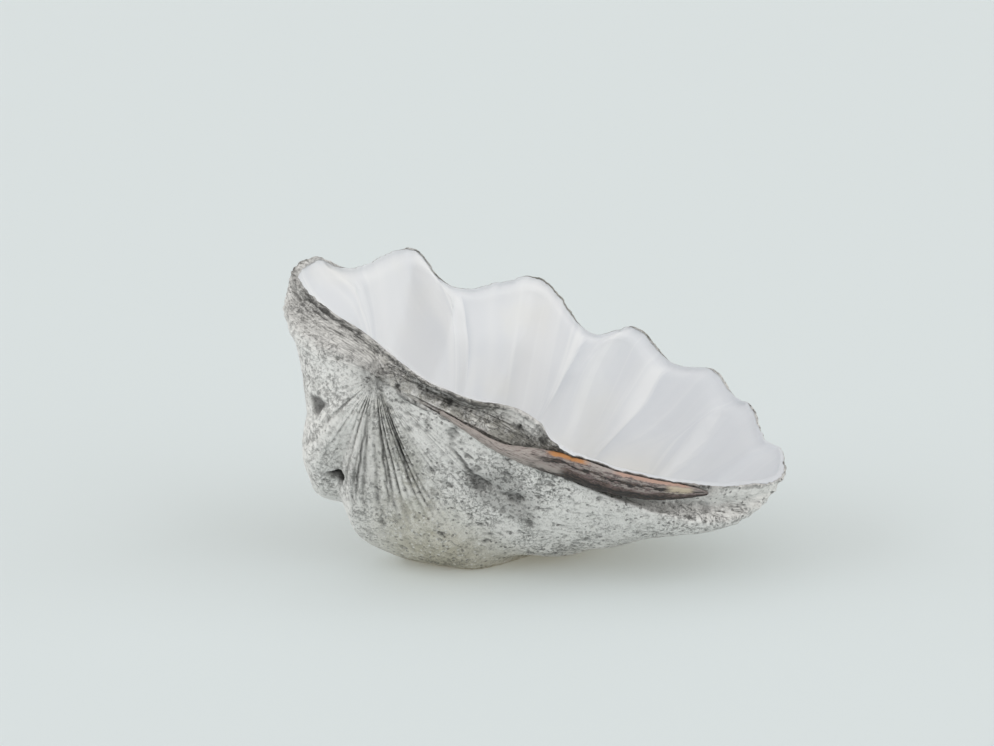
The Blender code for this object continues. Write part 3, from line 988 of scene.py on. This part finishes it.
def crust_colour(nodes, look, place, marks):
    """The colour of the outside, with its flecks, veins and dirt, and how high its fine grain stands."""
    slope, tooth, hinge = marks["slope"], marks["tooth"], marks["hinge"]
    aside = nodes.vector("ADD", place, ASIDE)
    blotch = nodes.noise(place, 16.0, 4.0, 0.6)
    mottle = nodes.noise(place, 75.0, 5.0, 0.7)
    grain = nodes.noise(aside, 330.0, 5.0, 0.75)
    # left marks the left-hand end, whitened partly as painted light.
    chalk, left = plain_chalk(nodes, look, place, marks, (blotch, mottle, grain))

    wander = nodes.add("ShaderNodeTexNoise", None, {"Vector": place, "Scale": 420.0, "Detail": 2.0})[1]
    ragged = nodes.vector("ADD", place, nodes.scaled(wander, 0.003))
    dot = nodes.cells(ragged, 230.0)
    dots = (1.0 - nodes.step(dot[0], 0.2, 0.4)) * nodes.step(nodes.parts(dot[1])[0], 0.7, 0.74)
    fleck = nodes.cells(nodes.vector("ADD", ragged, (0.7, 0.3, 0.9)), 260.0)
    flecks = (1.0 - nodes.step(fleck[0], 0.2, 0.45)) * nodes.step(nodes.parts(fleck[1])[0], 0.6, 0.66)
    chalk = nodes.colour(flecks * 0.7, chalk, rgba(look.chalk_white))
    wound = nodes.noise(place, 115.0, 4.0, 0.6, 0.8)
    veined = nodes.step(nodes.noise(aside, 26.0, 3.0, 0.6), 0.46, 0.58)
    vein = (1.0 - nodes.step(abs(wound - 0.5), 0.004, 0.026)) * veined

    dirty = 0.35 + 0.65 * nodes.step(nodes.noise(aside, 13.0, 3.0, 0.6), 0.4, 0.62)
    fine_speck = nodes.step(nodes.noise(place, 300.0, 6.0, 0.8), 0.54, 0.62)
    speck = nodes.step(nodes.noise(aside, 125.0, 6.0, 0.78), 0.565, 0.64)
    specks = nodes.most(fine_speck * 0.8 * dirty, speck * dirty, dots * 0.95)
    dirt = nodes.least(
        specks * (0.6 + 0.3 * slope)
        + marks["groove"] * (0.35 + 0.9 * nodes.step(mottle, 0.35, 0.6))
        + marks["ledge"] * (0.25 + 0.3 * hinge)
        + marks["pit"] * 0.9
        + vein * (0.4 + 0.4 * hinge),
        1.0,
    )
    # Less dark on the tooth, the slopes and the left-hand end, the last partly painted light.
    dirt = dirt * (1.0 - nodes.most(tooth * 0.6, left * 0.4, slope * 0.25))
    by_beak = 1.0 - nodes.step(marks["reach"], 0.0, 0.032)
    by_rim = 1.0 - nodes.step(marks["lip"], 0.001, 0.004)
    dirt = dirt + by_beak * nodes.step(mottle, 0.38, 0.6) * 0.6
    dirt = dirt + by_rim * nodes.step(mottle, 0.35, 0.6) * 0.5
    crust = nodes.colour(nodes.least(dirt, 1.0) * 0.96, chalk, rgba(look.dirt))

    layers = nodes.noise(nodes.vector("MULTIPLY", marks["flow"], (1.0, 1.0, 60.0)), 3.0, 5.0, 0.75)
    by_edge = 1.0 - nodes.step(marks["lip"], 0.008, 0.034)
    banded = hinge * nodes.step(layers, 0.44, 0.6) * (0.35 + 0.55 * by_edge) * (1.0 - tooth)
    crust = nodes.colour(banded, crust, rgba(look.dirt))
    crust = nodes.colour(marks["scar_dark"], crust, rgba(look.hole))
    tiny = nodes.noise(place, 700.0, 4.0, 0.7)
    height = tiny * 0.4 + grain * 0.9 + mottle * 0.6 - specks * 0.9 - vein * 0.7 + flecks * 0.4
    return crust, height


def bowl_colour(nodes, look, place, marks):
    """The porcelain inside: streaks that run down from the edge and warm places, with painted shade at the
    right-hand end and along the edge, and painted light and shade on the ridges' sides.
    """
    lip, flow = marks["lip"], marks["flow"]
    x, _, z = nodes.parts(place)
    far = nodes.step(lip, 0.09, 0.17)
    pearl = nodes.noise(nodes.vector("MULTIPLY", flow, (1.0, 1.0, 0.9)), 1.7, 2.0, 0.5)
    pearl = pearl + far * (0.5 - pearl)
    white = nodes.colour(nodes.step(pearl, 0.36, 0.64), rgba(look.porcelain), rgba(look.porcelain_cool))
    thread = nodes.noise(nodes.vector("MULTIPLY", flow, (1.0, 1.0, 0.5)), 5.0, 2.0, 0.5)
    threads = nodes.step(thread, 0.54, 0.68) * (0.9 - 0.9 * far)
    white = nodes.colour(threads, white, rgba(look.porcelain_streaks_and_painted_highlight))
    cream = nodes.noise(place, 14.0, 2.0, 0.5)
    white = nodes.colour(nodes.step(cream, 0.5, 0.7) * 0.5, white, rgba(look.cream))
    # Painted shade: the bowl greys towards its right-hand end, away from the light from the left.
    white = nodes.colour(nodes.step(x, 0.0, 0.2) * 0.75, white, rgba(look.porcelain_painted_shade))
    warm = (1.0 - nodes.step(z, 0.05, 0.11)) * nodes.band(x, -0.03, 0.03, 0.09, 0.15)
    white = nodes.colour(warm * 0.55, white, rgba(look.cream_warm))
    # The fold mark is painted light and shade on the ridges' sides, with a little noise.
    fold = marks["fold"] + (nodes.noise(place, 45.0, 2.0, 0.5) - 0.5) * 0.25
    # Painted shade along the edge inside, and on the shaded side of each ridge.
    by_lip = 1.0 - nodes.step(lip, 0.002, 0.016)
    shaded = nodes.most(nodes.step(0.0 - fold, 0.08, 1.0) * 0.9, by_lip * 0.35)
    white = nodes.colour(shaded, white, rgba(look.porcelain_painted_shade))
    # Painted highlight on the lit side of each ridge.
    return nodes.colour(nodes.step(fold, 0.12, 0.9) * 0.65, white, rgba(look.porcelain_streaks_and_painted_highlight))


def shell_material(look):
    made, nodes, shader = new_material("shell_chalk_and_porcelain", 0.6)
    place = nodes.add("ShaderNodeTexCoord")[3]
    marks = {name: attribute(nodes, name) for name in SHADED_MARKS}
    marks["flow"] = attribute_vector(nodes, "flow")
    frayed = (nodes.noise(place, 130.0, 3.0, 0.6) - 0.5) * 0.9
    outside = nodes.step(marks["outside"] + frayed, 0.35, 0.6)
    crust, height = crust_colour(nodes, look, place, marks)
    white = bowl_colour(nodes, look, place, marks)
    link(nodes, nodes.colour(outside, white, crust), shader.inputs["Base Color"])
    rough = 0.42 + 0.06 * nodes.noise(place, 60.0, 2.0)
    link(nodes, rough + outside * (0.9 - rough), shader.inputs["Roughness"])
    values = {"Strength": 0.9, "Distance": 0.0013, "Height": height * outside}
    link(nodes, nodes.add("ShaderNodeBump", None, values)[0], shader.inputs["Normal"])
    return made


def ligament_material(look):
    made, nodes, shader = new_material("ligament_horn", 0.62)
    flow = attribute_vector(nodes, "flow")
    upper = attribute(nodes, "upper")
    along = attribute(nodes, "along")
    place = nodes.add("ShaderNodeTexCoord")[3]
    streaks = nodes.noise(nodes.vector("MULTIPLY", flow, (14.0, 1.6, 1.6)), 1.0, 4.0, 0.65)
    fine = nodes.noise(nodes.vector("MULTIPLY", flow, (40.0, 4.0, 4.0)), 1.0, 4.0, 0.7)
    level = upper + (streaks - 0.5) * 0.3
    black = nodes.colour(nodes.step(fine, 0.45, 0.65), rgba(look.black_horn), rgba(look.brown_horn))
    purple = nodes.colour(nodes.step(fine, 0.4, 0.6), rgba(look.brown_horn), rgba(look.purple_horn))
    grey = nodes.colour(nodes.step(fine, 0.4, 0.56), rgba(look.purple_horn), rgba(look.grey_horn))
    horn = nodes.colour(nodes.step(level, 0.42, 0.5), black, purple)
    horn = nodes.colour(nodes.step(level, 0.53, 0.58), horn, grey)
    horn = nodes.colour(nodes.band(level, 0.63, 0.66, 0.7, 0.74), horn, black)
    cracks = 1.0 - nodes.step(abs(streaks - 0.5), 0.0, 0.035)
    horn = nodes.colour(cracks * 0.75, horn, rgba(look.black_horn))
    faded = (1.0 - nodes.step(along, 0.3, 0.42)) * nodes.step(fine, 0.28, 0.55)
    horn = nodes.colour(faded * 0.8, horn, rgba(look.pale_horn))

    for share, start, end, low, high, colour in (
        (0.7, 0.50, 1.0, 0.88, 1.2, look.pale_horn),
        (0.85, 0.63, 0.92, 0.87, 1.2, look.salmon_horn),
        (0.95, 0.40, 0.52, 0.84, 1.2, look.orange_horn),
        (0.85, 0.83, 0.93, 0.62, 0.8, look.cream_horn),
        (0.7, 0.36, 0.45, 0.34, 0.5, look.pale_horn),
    ):
        patch = nodes.step(along + (streaks - 0.5) * 0.06, start - 0.02, start + 0.02)
        patch = patch * (1.0 - nodes.step(along + (fine - 0.5) * 0.06, end - 0.02, end + 0.02))
        frayed = upper + (fine - 0.5) * 0.35
        patch = patch * nodes.band(frayed, low - 0.04, low + 0.04, high, high + 0.08)
        horn = nodes.colour(patch * share, horn, rgba(colour))
    link(nodes, horn, shader.inputs["Base Color"])
    height = fine * 0.8 + nodes.noise(place, 500.0, 3.0) * 0.4
    values = {"Strength": 0.8, "Distance": 0.0008, "Height": height}
    link(nodes, nodes.add("ShaderNodeBump", None, values)[0], shader.inputs["Normal"])
    return made


def stage_material(look):
    made, _, shader = new_material("stage_paper", 0.95)
    shader.inputs["Base Color"].default_value = rgba(look.floor)
    shader.inputs["Specular IOR Level"].default_value = 0.1
    # Painted light: the floor glows faintly and warmly by itself, which lightens and warms its shadows.
    shader.inputs["Emission Color"].default_value = rgba(look.floor_painted_glow)
    shader.inputs["Emission Strength"].default_value = 1.0
    return made


# Settings


def colour_setting(name, about, default):
    return bpy.props.FloatVectorProperty(
        name=name, description=about, subtype="COLOR", size=3, min=0.0, max=1.0, default=default
    )


def length_setting(name, about, default):
    return bpy.props.FloatProperty(
        name=name, description=about, default=default, min=0.0, unit="LENGTH", precision=5
    )


def count_setting(name, about, default):
    return bpy.props.IntProperty(name=name, description=about, default=default, min=8)


def strength_setting(name, about, default):
    return bpy.props.FloatProperty(name=name, description=about, default=default, min=0.0)


class ClamShellSettings(bpy.types.PropertyGroup):
    """The shell's mesh, relief and colours."""

    columns: count_setting("Columns", "Columns of faces round the shell", 400)
    rows_out: count_setting("Rows Outside", "Rows of faces from the beak to the edge", 165)
    rows_lip: count_setting("Rows on the Edge", "Rows of faces across the edge", 8)
    rows_bowl: count_setting("Rows Inside", "Rows of faces from the edge to the bottom of the bowl", 56)
    lump_height: length_setting("Lump Height", "Height of the broad lumps outside", 0.0015)
    knob_height: length_setting("Knob Height", "Height of the knobs at the ends", 0.006)
    riblet_depth: length_setting("Riblet Depth", "Depth of the grooves between fine riblets", 0.0015)
    riblets_per_row: bpy.props.FloatProperty(
        name="Riblets per Row", description="Fine riblets between two rows of the edge", default=2.7
    )
    growth_height: length_setting("Growth Edge Height", "Height of the edges of growth layers", 0.0007)
    growth_spacing: length_setting("Growth Edge Spacing", "Distance between growth layers", 0.0055)
    pit_depth: length_setting("Pit Depth", "Depth of the pits outside", 0.0016)
    pit_size: length_setting("Pit Size", "Distance between the larger pits", 0.009)
    crumb_height: length_setting("Crumb Height", "Height of the crumbly grain outside", 0.0005)
    chip_depth: length_setting("Chip Depth", "Depth of the chips in the edge", 0.003)
    chalk: colour_setting("Chalk", "Colour of the worn outside", (0.475, 0.462, 0.42))
    chalk_grey: colour_setting("Grey Chalk", "Colour of its greyer places", (0.28, 0.273, 0.248))
    # It also whitens the lit left end and the up-facing right end: part wear, part painted light.
    chalk_white: colour_setting("White Chalk", "Colour of its freshly worn places", (0.87, 0.86, 0.835))
    ochre: colour_setting("Ochre Stain", "Colour of the warm stains", (0.58, 0.54, 0.42))
    moss: colour_setting("Green Stain", "Colour of the greenish stains", (0.50, 0.51, 0.43))
    blush: colour_setting("Blush", "Colour of the pinkish stains by the ligament", (0.36, 0.29, 0.28))
    dirt: colour_setting("Dirt", "Colour in grooves and pits", (0.10, 0.098, 0.092))
    hole: colour_setting("Hole", "Colour in the deep holes", (0.045, 0.043, 0.04))
    porcelain: colour_setting("Porcelain", "Colour of the smooth inside", (0.85, 0.858, 0.87))
    # Colour of the bright streaks, and also of the painted highlight on the lit side of each ridge.
    porcelain_streaks_and_painted_highlight: colour_setting("Bright Porcelain", "Colour of its streaks", (0.88, 0.89, 0.90))
    porcelain_cool: colour_setting("Cool Porcelain", "Colour of its bluish bands", (0.775, 0.792, 0.82))
    # The painted shade inside: the bowl's right-hand end, along the edge and the shaded side of each ridge.
    porcelain_painted_shade: colour_setting("Grey Porcelain", "Colour at its right-hand end", (0.655, 0.68, 0.72))
    cream_warm: colour_setting("Warm Cream", "Colour low in the bowl by the ligament", (0.78, 0.75, 0.67))
    cream: colour_setting("Cream", "Colour of its warmer places", (0.84, 0.84, 0.82))


class ClamLigamentSettings(bpy.types.PropertyGroup):
    """The hinge ligament's mesh and colours."""

    steps: count_setting("Steps Along", "Rings of faces along the ligament", 260)
    sides: count_setting("Sides", "Faces round each ring", 48)
    black_horn: colour_setting("Black Horn", "Colour of its darkest layers", (0.018, 0.016, 0.015))
    brown_horn: colour_setting("Brown Horn", "Colour of its dark layers", (0.09, 0.062, 0.05))
    grey_horn: colour_setting("Grey Horn", "Colour of its weathered layers", (0.30, 0.27, 0.25))
    pale_horn: colour_setting("Pale Horn", "Colour of its palest layers", (0.46, 0.41, 0.38))
    purple_horn: colour_setting("Purple Horn", "Colour of its purple-brown layers", (0.17, 0.125, 0.12))
    salmon_horn: colour_setting("Salmon Horn", "Colour of its pink upper edge", (0.50, 0.31, 0.24))
    cream_horn: colour_setting("Cream Horn", "Colour of its cream patch", (0.56, 0.48, 0.36))
    orange_horn: colour_setting("Orange Horn", "Colour of its orange strip", (0.50, 0.22, 0.07))


class ClamStageSettings(bpy.types.PropertyGroup):
    """The floor, the light and the camera."""

    floor_size: length_setting("Floor Size", "Side of the square floor", 40.0)
    floor: colour_setting("Floor", "Colour of the floor", (0.58, 0.655, 0.70))
    # A painted glow of the floor itself, warm, that lightens the shadows on it.
    floor_painted_glow: colour_setting("Floor Glow", "Light that the floor lets through", (0.145, 0.13, 0.098))
    sky: colour_setting("Room Light", "Colour of the light from all round", (1.0, 0.985, 0.955))
    sky_strength: strength_setting("Room Strength", "Strength of the light from all round", 0.51)
    above_strength: strength_setting("Strength Above", "Strength of the soft light from above", 0.4)
    left_strength: strength_setting("Strength Left", "Strength of the soft light from the left", 1.45)
    right_strength: strength_setting("Strength Right", "Strength of the soft light from the right", 1.0)
    front_strength: strength_setting("Strength Front", "Strength of the soft light from the front", 0.2)
    lens: bpy.props.FloatProperty(name="Lens", description="Focal length in millimetres", default=75.0)


# Operators


class CLAM_OT_shell(bpy.types.Operator):
    """Build the shell: its ribbed outside, its edge and its smooth bowl"""

    bl_idname = "clam.shell"
    bl_label = "Shell"

    def execute(self, context):
        look = context.scene.clam_shell
        t = column_rows(look.columns)
        v = places_out(look.rows_out, t)
        outside, _ = outer_surface(t, v)
        inside, bottom, width, inward, sides = bowl_surface(t, look.rows_bowl)
        sink, dark = scar_marks(outside, t, v)
        outside = bedded(outside)

        edge, rim = outside[-1], inside[0]
        shares = np.arange(1, look.rows_lip) / look.rows_lip
        plate = plate_share(t)
        crown = np.minimum(1.0 + 0.02 * width, 1.6) + EDGE_BULGE * width * plate + 0.3 * tooth_height(t)
        lip = [
            edge + (rim - edge) * s - DOWN * (crown * math.sin(math.pi * s) ** 0.7)[:, None]
            for s in shares
        ]
        lip = np.array(lip)
        world = [rested(in_world(outside[1:])), in_world(lip), in_world(inside)]
        sheet = np.concatenate(world)
        points = np.concatenate([sheet.reshape(-1, 3), in_world(np.array([BEAK, bottom]))])
        beak = len(points) - 2
        grid = np.arange(beak).reshape(sheet.shape[:2])
        faces = grid_faces(grid[::-1], beak) + grid_faces(grid[-1:], beak + 1)

        count = sheet.shape[:2]
        run = run_of(outside)
        reach = np.zeros(count)
        reach[:look.rows_out] = run[1:]
        reach[look.rows_out:] = run[-1]
        below = run_of(np.concatenate([edge[None], lip, inside]))[1:]
        to_lip = np.concatenate([run[-1] - run[1:], below])
        deep = np.zeros((len(sheet), 1))
        deep[-len(inside):, 0] = (np.arange(len(inside)) / look.rows_bowl) ** CROWDING
        bend = np.interp(t % ROWS, BEND_ROWS, BENDS) / DEGREES_PER_ROW
        angle = (t + bend * deep) * 2 * math.pi / ROWS
        # fold holds the ridges' painted light and shade on the inside rows.
        fold, sunk, darkened = np.zeros(count), np.zeros(count), np.zeros(count)
        fold[-len(inside):] = sides
        sunk[:look.rows_out] = sink[1:]
        darkened[:look.rows_out] = dark[1:]
        marks = marks_by_row(t, reach, to_lip, look.rows_out)
        marks |= {
            "row": t,
            "reach": reach * METRES_PER_MM,
            "lip": to_lip * METRES_PER_MM,
            "scar_depth": sunk * METRES_PER_MM,
            "scar_dark": darkened,
            "fold": fold,
            "flow": np.stack([np.cos(angle) * 4.0, np.sin(angle) * 4.0, to_lip * METRES_PER_MM], 2),
            "inward": in_world(inward) - in_world(np.zeros(3)),
            "edge_place": in_world(edge) * METRES_PER_MM,
        }
        fields = {name: with_ends(name, numbers, count) for name, numbers in marks.items()}
        obj = mesh_object("shell", points, faces, fields)
        tree, sizes = shell_relief(look)
        with_relief(obj, tree, {"Material": shell_material(look), **sizes})
        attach(obj, "root")
        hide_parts("valve")
        return {"FINISHED"}


class CLAM_OT_ligament(bpy.types.Operator):
    """Build the hinge ligament, the layered strip in the furrow under the edge"""

    bl_idname = "clam.ligament"
    bl_label = "Hinge Ligament"

    def execute(self, context):
        look = context.scene.clam_ligament
        t = np.linspace(0.0, len(LIGAMENT) - 1.0, look.steps)
        line = through_rows(LIGAMENT, t, False)
        along = unit(np.gradient(line[:, :3], axis=0))
        away = unit(np.cross(along, DOWN))
        face = unit(np.cross(away, along))
        turn = np.linspace(0.0, 2 * math.pi, look.sides, endpoint=False)
        ring = (
            line[:, None, :3]
            + np.cos(turn)[None, :, None] * line[:, None, 3:4] * face[:, None]
            + np.sin(turn)[None, :, None] * line[:, None, 4:5] * away[:, None]
        )
        grid = np.arange(look.steps * look.sides).reshape(look.steps, look.sides)
        first = line[0, :3] - along[0] * 2
        last = line[-1, :3] + along[-1] * 2
        faces = grid_faces(grid, grid.size)
        faces += np.stack([
            grid[0], np.roll(grid[0], -1), np.full(look.sides, grid.size + 1)
        ], -1).tolist()
        points = in_world(np.concatenate([ring.reshape(-1, 3), [last], [first]]))
        run = run_of(line[:, :3])
        share = np.broadcast_to((run / run[-1])[:, None], grid.shape)
        top = math.pi if face[:, 2].mean() > 0 else 0.0
        round_top = np.abs((turn - top + math.pi) % (2 * math.pi) - math.pi)
        upper = np.broadcast_to(1 - round_top / math.pi, grid.shape)
        flow = np.stack([
            np.broadcast_to(np.cos(turn), grid.shape) * 0.16,
            np.broadcast_to(np.sin(turn), grid.shape) * 1.4,
            np.broadcast_to(run[:, None] / 25.0, grid.shape),
        ], 2)
        fields = {
            "along": np.append(share.ravel(), (1.0, 0.0)),
            "upper": np.append(upper.ravel(), (0.5, 0.5)),
            "flow": np.concatenate([flow.reshape(-1, 3), np.zeros((2, 3))]),
        }
        obj = mesh_object("hinge_ligament", points, faces, fields)
        with_relief(obj, ligament_relief(), {"Material": ligament_material(look)})
        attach(obj, "root")
        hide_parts("ligament")
        return {"FINISHED"}


class CLAM_OT_stage(bpy.types.Operator):
    """Set the plain floor, the soft light and the camera"""

    bl_idname = "clam.stage"
    bl_label = "Stage"

    def execute(self, context):
        look = context.scene.clam_stage
        half = look.floor_size / 2
        mesh = bpy.data.meshes.new("floor")
        corners = [(-half, -half, 0), (half, -half, 0), (half, half, 0), (-half, half, 0)]
        mesh.from_pydata(corners, [], [(0, 1, 2, 3)])
        mesh.materials.append(stage_material(look))
        floor = bpy.data.objects.new("floor", mesh)
        context.scene.collection.objects.link(floor)

        world = bpy.data.worlds.new("room")
        context.scene.world = world
        world.use_nodes = True
        background = world.node_tree.nodes["Background"]
        background.inputs["Color"].default_value = rgba(look.sky)
        background.inputs["Strength"].default_value = look.sky_strength

        for name, spread, side, height in LIGHTS:
            lamp = bpy.data.lights.new("light_" + name, "SUN")
            lamp.energy = getattr(look, name + "_strength")
            lamp.angle = math.radians(spread)
            sun = bpy.data.objects.new("light_" + name, lamp)
            sun.rotation_euler = (math.radians(90.0 - height), 0.0, math.radians(side))
            context.scene.collection.objects.link(sun)

        lens = bpy.data.cameras.new("camera")
        lens.lens = look.lens
        lens.sensor_width = 36.0
        camera = bpy.data.objects.new("camera", lens)
        camera.location = CAMERA_PLACE
        camera.rotation_euler = (math.radians(CAMERA_TILT), 0.0, 0.0)
        context.scene.collection.objects.link(camera)
        context.scene.camera = camera
        context.scene.view_settings.view_transform = "Standard"
        return {"FINISHED"}


class CLAM_PT_panel(bpy.types.Panel):
    """The shell's pieces and settings"""

    bl_idname = "CLAM_PT_panel"
    bl_label = "Giant Clam Shell"
    bl_space_type = "VIEW_3D"
    bl_region_type = "UI"
    bl_category = "Clam Shell"

    def draw(self, context):
        for operator, settings in PIECES:
            box = self.layout.box()
            box.operator(operator.bl_idname)
            group = getattr(context.scene, settings)
            for name in group.__annotations__:
                box.prop(group, name)


PIECES = (
    (CLAM_OT_shell, "clam_shell"),
    (CLAM_OT_ligament, "clam_ligament"),
    (CLAM_OT_stage, "clam_stage"),
)
SETTINGS = {
    "clam_shell": ClamShellSettings,
    "clam_ligament": ClamLigamentSettings,
    "clam_stage": ClamStageSettings,
}


def register():
    for name, group in SETTINGS.items():
        bpy.utils.register_class(group)
        setattr(bpy.types.Scene, name, bpy.props.PointerProperty(type=group))
    for operator, _ in PIECES:
        bpy.utils.register_class(operator)
    bpy.utils.register_class(CLAM_PT_panel)


def unregister():
    bpy.utils.unregister_class(CLAM_PT_panel)
    for operator, _ in reversed(PIECES):
        bpy.utils.unregister_class(operator)
    for name, group in SETTINGS.items():
        delattr(bpy.types.Scene, name)
        bpy.utils.unregister_class(group)


def main():
    register()
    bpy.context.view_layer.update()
    bpy.ops.clam.shell()
    bpy.ops.clam.ligament()
    bpy.ops.clam.stage()


if __name__ == "__main__":
    main()
